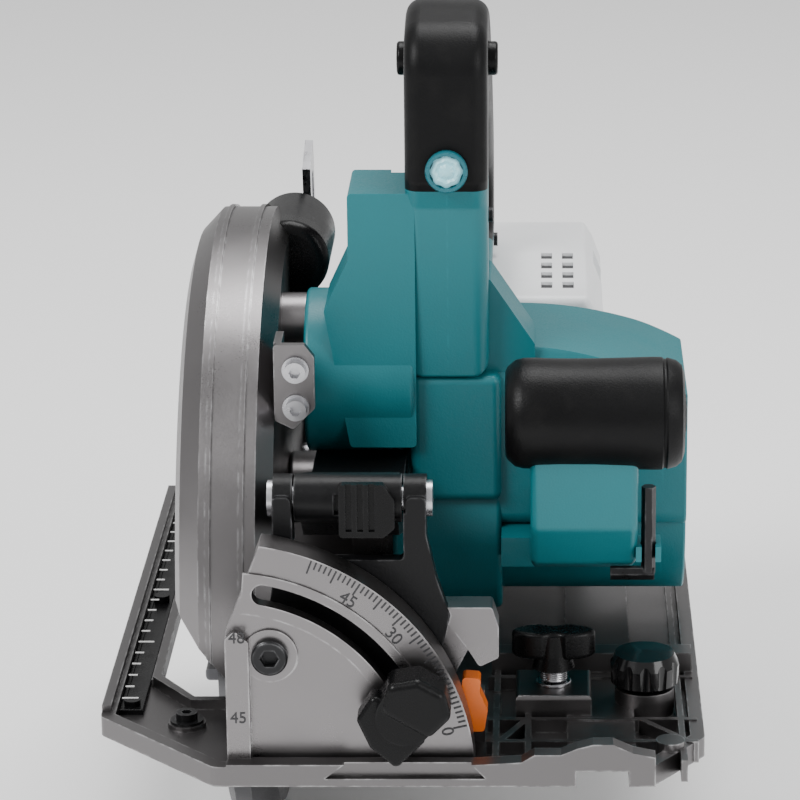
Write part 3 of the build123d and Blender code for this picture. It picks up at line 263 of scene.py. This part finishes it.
NODE_FINISH = {
    "housing": "motor_housing motor_end_cap handle_left handle_right grip_post",
    "rubber": "handle_grip front_grip",
    "plastic": "dust_nozzle battery_mount trigger lock_off shaft_lock_slide bevel_clamp_lever depth_lever"
               " wing_screw switch_unit fan edge_scale",
    "gloss black": "rail_knob",
    "casting": "blade_case gear_housing gear_cover case_bracket bevel_pointer rear_bracket",
    "base casting": "base_plate",
    "sector": "bevel_sector rear_sector",
    "ground steel": "hinge_pin depth_guide rear_bolt case_screws spindle_bearings motor_bearings depth_bolt"
                    " inner_flange outer_flange spindle spindle_gear rotor_shaft wing_spring guard_spring",
    "blade steel": "saw_blade",
    "carbide": "blade_tips",
    "black oxide": "base_screws housing_screws hex_key stop_dial blade_bolt",
    "guard zinc": "lower_guard",
    "black paint": "bevel_bracket pivot_arm",
    "accent": "shift_lever",
    "lens": "led_lens",
    "battery": "battery battery_button",
    "copper wire": "stator_coils",
    "circuit board": "control_board",
    "laminations": "stator rotor_core",
}


def finish(name):
    """The material of that name, made on first use."""
    found = bpy.data.materials.get(name)
    return found or make_finish(name, **finish_table()[name])


# ---- mesh helpers -----------------------------------------------------------------------------
def piece_from_mesh(name, mesh, material, body, smooth=30):
    thing = bpy.data.objects.new(name, mesh)
    bpy.context.scene.collection.objects.link(thing)
    mesh.materials.clear()
    mesh.materials.append(finish(material))
    if smooth:
        mesh.shade_smooth()
        mesh.set_sharp_from_angle(angle=radians(smooth))
    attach(thing, body)
    return thing


class Tree:
    """A Geometry Nodes tree with named inputs, ending in Realize Instances and Set Material."""

    def __init__(self, name, **inputs):
        self.tree = bpy.data.node_groups.new(name, "GeometryNodeTree")
        face = self.tree.interface
        face.new_socket(name="Geometry", in_out="OUTPUT", socket_type="NodeSocketGeometry")
        kinds = {int: "NodeSocketInt", float: "NodeSocketFloat", tuple: "NodeSocketVector"}
        for label, value in inputs.items():
            socket = face.new_socket(name=label, in_out="INPUT", socket_type=kinds[type(value)])
            socket.default_value = value
        face.new_socket(name="material", in_out="INPUT", socket_type="NodeSocketMaterial")
        self.source = self.tree.nodes.new("NodeGroupInput")

    def given(self, label):
        return self.source.outputs[label]

    def node(self, kind, settings=None, **inputs):
        node = self.tree.nodes.new(kind)
        for key, value in (settings or {}).items():
            setattr(node, key, value)
        for key, value in inputs.items():
            socket = node.inputs[int(key[1:])] if key[0] == "_" and key[1:].isdigit() else \
                node.inputs[key.replace("_", " ")]
            if isinstance(value, bpy.types.NodeSocket):
                self.tree.links.new(value, socket)
            else:
                socket.default_value = value
        return node.outputs[0]

    def maths(self, kind, *values):
        return self.node("ShaderNodeMath", {"operation": kind}, **{f"_{i}": v for i, v in enumerate(values)})

    def vector(self, x, y, z):
        return self.node("ShaderNodeCombineXYZ", X=x, Y=y, Z=z)

    def close(self, geometry):
        real = self.node("GeometryNodeRealizeInstances", Geometry=geometry)
        painted = self.node("GeometryNodeSetMaterial", Geometry=real, Material=self.given("material"))
        self.tree.links.new(painted, self.tree.nodes.new("NodeGroupOutput").inputs[0])
        return self.tree


def grow(name, tree, material, body, slot, smooth=30, replaces=(), **values):
    """Run a tree with these inputs and keep the result as one plain mesh piece."""
    holder = bpy.data.objects.new(name + "_source", bpy.data.meshes.new(name + "_source"))
    bpy.context.scene.collection.objects.link(holder)
    modifier = holder.modifiers.new("build", "NODES")
    modifier.node_group = tree
    names = {s.name: s.identifier for s in tree.interface.items_tree if s.in_out == "INPUT"}
    for label, value in values.items():
        modifier[names[label]] = value
    modifier[names["material"]] = finish(material)
    ready = holder.evaluated_get(bpy.context.evaluated_depsgraph_get())
    mesh = bpy.data.meshes.new_from_object(ready)
    holder.modifiers.remove(modifier)
    bpy.data.objects.remove(holder)
    thing = piece_from_mesh(name, mesh, material, body, smooth)
    if replaces:
        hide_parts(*replaces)
    return thing


def mark_tree(name, turn_points):
    """Marks of two lengths along a line, or turned about Y on an arc where turn_points is true.

    A flip of -1 mirrors the bars to point inward, which also turns their faces inside out.
    """
    tree = Tree(name, count=10, major=5, start=(0.0, 0.0, 0.0), step=(0.0, 0.001, 0.0), radius=0.05,
                first_angle=0.0, angle_step=0.1, size=(0.003, 0.0003, 0.0002), short=0.6, flip=1.0)
    line = tree.node("GeometryNodeMeshLine", Count=tree.given("count"),
                     Start_Location=tree.given("start"), Offset=tree.given("step"))
    index = tree.node("GeometryNodeInputIndex")
    rest = tree.maths("MODULO", index, tree.given("major"))
    is_minor = tree.maths("GREATER_THAN", rest, 0.5)
    cut = tree.maths("MULTIPLY", is_minor, tree.maths("SUBTRACT", 1.0, tree.given("short")))
    share = tree.maths("SUBTRACT", 1.0, cut)
    scale = tree.vector(share, 1.0, 1.0)
    bar = tree.node("GeometryNodeMeshCube", Size=tree.given("size"))
    split = tree.tree.nodes.new("ShaderNodeSeparateXYZ")
    tree.tree.links.new(tree.given("size"), split.inputs[0])
    shifted = tree.node("GeometryNodeTransform", Geometry=bar,
                        Translation=tree.vector(tree.maths("MULTIPLY", split.outputs[0], 0.5), 0.0, 0.0))
    if turn_points:
        angle = tree.maths("ADD", tree.given("first_angle"),
                           tree.maths("MULTIPLY", index, tree.given("angle_step")))
        reach = tree.given("radius")
        spot = tree.vector(tree.maths("MULTIPLY", reach, tree.maths("COSINE", angle)), 0.0,
                           tree.maths("MULTIPLY", reach, tree.maths("SINE", angle)))
        line = tree.node("GeometryNodeSetPosition", Geometry=line, Offset=spot)
        turn = tree.vector(0.0, tree.maths("MULTIPLY", angle, -1.0), 0.0)
        inward = tree.node("ShaderNodeVectorMath", {"operation": "MULTIPLY"}, _0=scale,
                           _1=tree.vector(tree.given("flip"), 1.0, 1.0))
        marks = tree.node("GeometryNodeInstanceOnPoints", Points=line, Instance=shifted, Scale=inward,
                          Rotation=turn)
    else:
        marks = tree.node("GeometryNodeInstanceOnPoints", Points=line, Instance=shifted, Scale=scale)
    return tree.close(marks)


def mark_tree_row():
    return mark_tree("row of marks", False)


def mark_tree_arc():
    return mark_tree("arc of marks", True)


def spring_tree():
    """A coil spring standing on its axis along Z."""
    tree = Tree("coil spring", turns=5.0, radius=0.004, height=0.006, wire=0.0005, place=(0.0, 0.0, 0.0),
                turn=(0.0, 0.0, 0.0))
    coil = tree.node("GeometryNodeCurveSpiral", Resolution=24, Rotations=tree.given("turns"),
                     Start_Radius=tree.given("radius"), End_Radius=tree.given("radius"),
                     Height=tree.given("height"))
    wire = tree.node("GeometryNodeCurvePrimitiveCircle", Resolution=10, Radius=tree.given("wire"))
    body = tree.node("GeometryNodeCurveToMesh", Curve=coil, Profile_Curve=wire, Fill_Caps=True)
    return tree.close(tree.node("GeometryNodeTransform", Geometry=body, Translation=tree.given("place"),
                                Rotation=tree.given("turn")))


def box_tree():
    """Equal bars repeated in two directions."""
    tree = Tree("bar grid", columns=2, rows=4, size=(0.004, 0.008, 0.001), across=(0.0075, 0.0, 0.0),
                along=(0.0, 0.013, 0.0), start=(0.0, 0.0, 0.0))
    bar = tree.node("GeometryNodeMeshCube", Size=tree.given("size"))
    row = tree.node("GeometryNodeMeshLine", Count=tree.given("columns"), Offset=tree.given("across"))
    first = tree.node("GeometryNodeRealizeInstances",
                      Geometry=tree.node("GeometryNodeInstanceOnPoints", Points=row, Instance=bar))
    column = tree.node("GeometryNodeMeshLine", Count=tree.given("rows"),
                       Start_Location=tree.given("start"), Offset=tree.given("along"))
    return tree.close(tree.node("GeometryNodeInstanceOnPoints", Points=column, Instance=first))


def tree_named(name, maker):
    return bpy.data.node_groups.get(name) or maker()


def number_piece(name, words, place, turn, height, material, body):
    """A raised number as a mesh; turn is its rotation in degrees, place its middle in metres."""
    text = bpy.data.curves.new(name, "FONT")
    text.body = words
    text.size = height
    text.extrude = sizes().mark_height
    text.align_x, text.align_y = "CENTER", "CENTER"
    holder = bpy.data.objects.new(name + "_source", text)
    bpy.context.scene.collection.objects.link(holder)
    mesh = bpy.data.meshes.new_from_object(holder.evaluated_get(bpy.context.evaluated_depsgraph_get()))
    bpy.data.objects.remove(holder)
    rotation = Matrix.Rotation(radians(turn[2]), 4, "Z") @ Matrix.Rotation(radians(turn[1]), 4, "Y") \
        @ Matrix.Rotation(radians(turn[0]), 4, "X")
    mesh.transform(Matrix.Translation(Vector(place)) @ rotation)
    return piece_from_mesh(name, mesh, material, body, smooth=0)


def panel(name, middle, size, corner, thick, material, body):
    """A thin plate with round corners lying on a level face."""
    shape = bmesh.new()
    rim = []
    for corner_x, corner_y, first in ((1, 1, 0), (-1, 1, 90), (-1, -1, 180), (1, -1, 270)):
        for step in range(7):
            angle = radians(first + 15 * step)
            rim.append(shape.verts.new((middle[0] + corner_x * (size[0] / 2 - corner) + corner * cos(angle),
                                        middle[1] + corner_y * (size[1] / 2 - corner) + corner * sin(angle),
                                        middle[2] - thick / 2)))
    face = shape.faces.new(rim)
    grown = bmesh.ops.extrude_face_region(shape, geom=[face])
    upper = [v for v in grown["geom"] if isinstance(v, bmesh.types.BMVert)]
    bmesh.ops.translate(shape, verts=upper, vec=(0, 0, thick))
    edges = [e for e in shape.edges if all(v in upper for v in e.verts)]
    bmesh.ops.bevel(shape, geom=edges, offset=thick * 0.4, segments=2, affect="EDGES")
    bmesh.ops.recalc_face_normals(shape, faces=shape.faces)
    mesh = bpy.data.meshes.new(name)
    shape.to_mesh(mesh)
    shape.free()
    return piece_from_mesh(name, mesh, material, body)


def lathe(name, profile, origin, axis, material, body, steps=72, facets=None, replaces=(), ring=False):
    """Turn a (distance, radius) profile about an axis; its ends are capped, or joined in a ring."""
    shape = bmesh.new()
    frame_turn = Vector((0, 0, 1)).rotation_difference(Vector(axis)).to_matrix().to_4x4()
    rings = []
    for distance, radius in profile:
        loop = []
        for step in range(steps):
            angle = 2 * pi * step / steps
            reach = radius * (facets(angle, distance) if facets else 1)
            loop.append(shape.verts.new((reach * cos(angle), reach * sin(angle), distance)))
        rings.append(loop)
    for first, second in zip(rings, rings[1:] + rings[:1] if ring else rings[1:]):
        for step in range(steps):
            after = (step + 1) % steps
            shape.faces.new((first[step], first[after], second[after], second[step]))
    if not ring:
        shape.faces.new(list(reversed(rings[0])))
        shape.faces.new(rings[-1])
    shape.transform(Matrix.Translation(Vector(origin)) @ frame_turn)
    bmesh.ops.recalc_face_normals(shape, faces=shape.faces)
    mesh = bpy.data.meshes.new(name)
    shape.to_mesh(mesh)
    shape.free()
    thing = piece_from_mesh(name, mesh, material, body)
    if replaces:
        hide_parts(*replaces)
    return thing


# ---- operators --------------------------------------------------------------------------------
class SAW_OT_stage(bpy.types.Operator):
    """Make the floor, the soft lights and the camera"""
    bl_idname = "saw.stage"
    bl_label = "Stage"

    def execute(self, context):
        mesh = bpy.data.meshes.new("floor")
        shape = bmesh.new()
        bmesh.ops.create_grid(shape, x_segments=2, y_segments=2, size=6)
        bmesh.ops.translate(shape, verts=shape.verts, vec=(0, 0, CAD_BOX[0].z - FLOOR_GAP))
        shape.to_mesh(mesh)
        shape.free()
        floor = bpy.data.objects.new("floor", mesh)
        context.scene.collection.objects.link(floor)
        paper = bpy.data.materials.new("pale floor")
        paper.use_nodes = True
        shader = paper.node_tree.nodes["Principled BSDF"]
        shader.inputs["Base Color"].default_value = (0.92, 0.92, 0.92, 1)
        shader.inputs["Roughness"].default_value = 0.9
        mesh.materials.append(paper)
        world = bpy.data.worlds.new("studio")
        world.use_nodes = True
        world.node_tree.nodes["Background"].inputs["Color"].default_value = (1, 1, 1, 1)
        world.node_tree.nodes["Background"].inputs["Strength"].default_value = 0.62
        context.scene.world = world
        for name, place, size, power in STUDIO_LAMPS:
            lamp = bpy.data.lights.new(name, "AREA")
            lamp.size = size
            lamp.energy = power
            thing = bpy.data.objects.new(name, lamp)
            thing.location = place
            aim = LAMP_AIM - Vector(place)
            thing.rotation_euler = aim.to_track_quat("-Z", "Y").to_euler()
            context.scene.collection.objects.link(thing)
        camera = bpy.data.cameras.new("camera")
        camera.sensor_width = 36
        camera.lens = CAMERA_LENS
        camera.shift_x = CAMERA_SHIFT
        camera.clip_start, camera.clip_end = 0.05, 50
        thing = bpy.data.objects.new("camera", camera)
        thing.location = CAMERA_PLACE
        thing.rotation_euler = (radians(90 - CAMERA_DIP), 0, 0)
        context.scene.collection.objects.link(thing)
        context.scene.camera = thing
        return {"FINISHED"}


class SAW_OT_finishes(bpy.types.Operator):
    """Give every machined or moulded piece its finish"""
    bl_idname = "saw.finishes"
    bl_label = "Finishes"

    def execute(self, context):
        for name, members in NODE_FINISH.items():
            for node in members.split():
                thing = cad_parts[node]
                if thing.material_slots:
                    for slot in thing.material_slots:
                        slot.material = finish(name)
                else:
                    thing.data.materials.append(finish(name))
        bare = [n for n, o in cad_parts.items()
                if not any(n in members.split() for members in NODE_FINISH.values())]
        if bare:
            raise RuntimeError(f"no finish for {bare}")
        return {"FINISHED"}


class SAW_OT_ruler(bpy.types.Operator):
    """Raise the marks of the scale on the left edge of the base"""
    bl_idname = "saw.ruler"
    bl_label = "Edge ruler"

    def execute(self, context):
        low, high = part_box("edge_scale")
        tree = tree_named("row of marks", mark_tree_row)
        grow("edge_ruler_marks", tree, "mark white", "base", "black_plastic", smooth=0,
             count=20, major=5, start=(low.x + 0.0006, low.y + 0.005, high.z), step=(0.0, 0.01, 0.0),
             size=(0.0052, 0.0009, 2 * sizes().mark_height), short=0.55)
        return {"FINISHED"}


class SAW_OT_springs(bpy.types.Operator):
    """Wind coil springs in place of the plain rings, and add the fence washer"""
    bl_idname = "saw.springs"
    bl_label = "Springs"

    def execute(self, context):
        tree = tree_named("coil spring", spring_tree)
        low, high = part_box("wing_spring")
        middle = (low + high) / 2
        lathe("fence_washer", [(0.0, 0.0032), (0.0, 0.0054), (0.0002, 0.0056), (0.0008, 0.0056),
                               (0.001, 0.0054), (0.001, 0.0032)], (middle.x, middle.y, low.z), (0, 0, 1),
              "ground steel", "base", steps=48, ring=True)
        grow("fence_spring", tree, "ground steel", "base", "steel", 60, ("wing_spring",), turns=4.5,
             radius=0.0039, height=high.z - low.z - 0.0022, wire=0.0005,
             place=(middle.x, middle.y, low.z + 0.0017))
        low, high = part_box("guard_spring")
        middle = (low + high) / 2
        grow("guard_return_spring", tree, "ground steel", "saw", "steel", 60, ("guard_spring",), turns=22.0,
             radius=0.0020, height=high.y - low.y - 0.001, wire=0.00045,
             place=(middle.x, high.y - 0.0005, middle.z), turn=(radians(90), 0.0, 0.0))
        return {"FINISHED"}


class SAW_OT_bevel_numbers(bpy.types.Operator):
    """Raise the marks and numbers of the front bevel scale"""
    bl_idname = "saw.bevel_numbers"
    bl_label = "Bevel scale"

    def execute(self, context):
        low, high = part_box("bevel_sector")
        face = low.y + SCALE_STEP - sizes().mark_height
        centre = (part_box("saw_blade")[0].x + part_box("saw_blade")[1].x) / 2
        tree = tree_named("arc of marks", mark_tree_arc)
        grow("bevel_scale_marks", tree, "mark black", "base", "black_plastic", smooth=0, count=46, major=5,
             start=(centre, face, 0.0), step=(0.0, 0.0, 0.0), radius=MARK_ARC, first_angle=radians(13),
             angle_step=radians(1.25), size=(0.0042, 2 * sizes().mark_height, sizes().mark_width), short=0.55,
             flip=-1.0)
        for words, angle in (("0", 12.5), ("15", 27), ("30", 42), ("45", 57)):
            place = (centre + NUMBER_ARC * cos(radians(angle)), face, NUMBER_ARC * sin(radians(angle)))
            number_piece("bevel_number_" + words, words, place, (90, 90 - angle, 0), sizes().text_height,
                         "mark black", "base")
        for words, height in (("48", 0.0465), ("45", 0.0205)):
            number_piece("stop_number_" + words, words, (STOP_NUMBER_X, low.y - sizes().mark_height, height),
                         (90, 0, 0), sizes().text_height * 0.95, "mark black", "base")
        return {"FINISHED"}


class SAW_OT_battery_face(bpy.types.Operator):
    """Vents and label panel of the battery"""
    bl_idname = "saw.battery_face"
    bl_label = "Battery face"

    def execute(self, context):
        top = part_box("battery")[1].z
        grow("battery_vents", tree_named("bar grid", box_tree), "mark black", "battery", "black_plastic",
             smooth=0, columns=2, rows=4, size=(0.0038, 0.0078, 0.0003), across=(0.0075, 0.0, 0.0),
             along=(0.0, 0.013, 0.0), start=(0.046, 0.060, top - 0.0013))
        panel("battery_label", (0.0155, 0.070, top), (0.020, 0.052), 0.004, 0.0005, "label",
              "battery")
        return {"FINISHED"}


class SAW_OT_lamp(bpy.types.Operator):
    """The faceted lamp lens in its ring"""
    bl_idname = "saw.lamp"
    bl_label = "Lamp"

    def execute(self, context):
        low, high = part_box("led_lens")
        middle = (low + high) / 2
        back = high.y
        lathe("lamp_ring", [(0.0, 0.0064), (0.0052, 0.0068), (0.0060, 0.0064), (0.0060, 0.0054),
                            (0.0040, 0.0052)], (middle.x, back, middle.z), (0, -1, 0), "lamp ring", "saw")

        def facet(angle, distance):
            return 1 + 0.05 * cos(8 * angle) * (1 if distance > 0.0045 else 0)

        lathe("lamp_lens", [(0.0038, 0.0051), (0.0048, 0.0051), (0.0056, 0.0036), (0.0050, 0.0026),
                            (0.0058, 0.0016), (0.0061, 0.0004)], (middle.x, back, middle.z), (0, -1, 0),
              "lens", "saw", steps=64, facets=facet, replaces=("led_lens",))
        return {"FINISHED"}


class SAW_OT_front_grip(bpy.types.Operator):
    """The soft front grip with its swell, grooves and chamfered ends"""
    bl_idname = "saw.front_grip"
    bl_label = "Front grip"

    def execute(self, context):
        low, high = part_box("front_grip")
        wide = high.x - low.x
        radius = (high.z - low.z) / 2
        middle = (low + high) / 2
        shares = [(0.0, 0.74), (0.012, 0.82), (0.055, 0.94), (0.10, 0.975), (0.16, 0.98), (0.30, 0.97),
                  (0.50, 0.975), (0.70, 0.99), (0.82, 1.0), (0.875, 0.995), (0.885, 0.965), (0.895, 0.965),
                  (0.905, 0.985), (0.955, 0.94), (0.985, 0.86), (1.0, 0.72)]
        profile = [(share * wide, level * radius) for share, level in shares]

        def flats(angle, distance):
            share = distance / wide
            swell = max(0.0, 1 - abs(share - 0.5) / 0.34)
            return 1 - 0.018 * swell * (0.5 + 0.5 * cos(6 * angle))

        lathe("soft_front_grip", profile, (low.x, middle.y, middle.z), (1, 0, 0), "rubber", "saw",
              steps=96, facets=flats, replaces=("front_grip",))
        lathe("front_grip_cap", [(0.0, 0.0062), (0.0012, 0.0060), (0.0014, 0.0034), (0.0006, 0.003)],
              (high.x - 0.0006, middle.y, middle.z), (1, 0, 0), "plastic", "saw")
        return {"FINISHED"}


class SAW_PT_panel(bpy.types.Panel):
    bl_idname = "SAW_PT_panel"
    bl_label = "Circular saw"
    bl_space_type = "VIEW_3D"
    bl_region_type = "UI"
    bl_category = "Saw"

    def draw(self, context):
        for step in STEPS:
            self.layout.operator(step.bl_idname)
        for group in (context.scene.saw_colours, context.scene.saw_sizes):
            box = self.layout.box()
            for key in group.__annotations__:
                box.prop(group, key)


STEPS = (SAW_OT_stage, SAW_OT_finishes, SAW_OT_ruler, SAW_OT_springs, SAW_OT_bevel_numbers,
         SAW_OT_battery_face, SAW_OT_lamp, SAW_OT_front_grip)
CLASSES = (SawColours, SawSizes) + STEPS + (SAW_PT_panel,)


def register():
    for cls in CLASSES:
        bpy.utils.register_class(cls)
    bpy.types.Scene.saw_colours = bpy.props.PointerProperty(type=SawColours)
    bpy.types.Scene.saw_sizes = bpy.props.PointerProperty(type=SawSizes)


def unregister():
    del bpy.types.Scene.saw_sizes
    del bpy.types.Scene.saw_colours
    for cls in reversed(CLASSES):
        bpy.utils.unregister_class(cls)


def main():
    register()
    for step in STEPS:
        family, word = step.bl_idname.split(".")
        getattr(getattr(bpy.ops, family), word)()


if __name__ == "__main__":
    main()
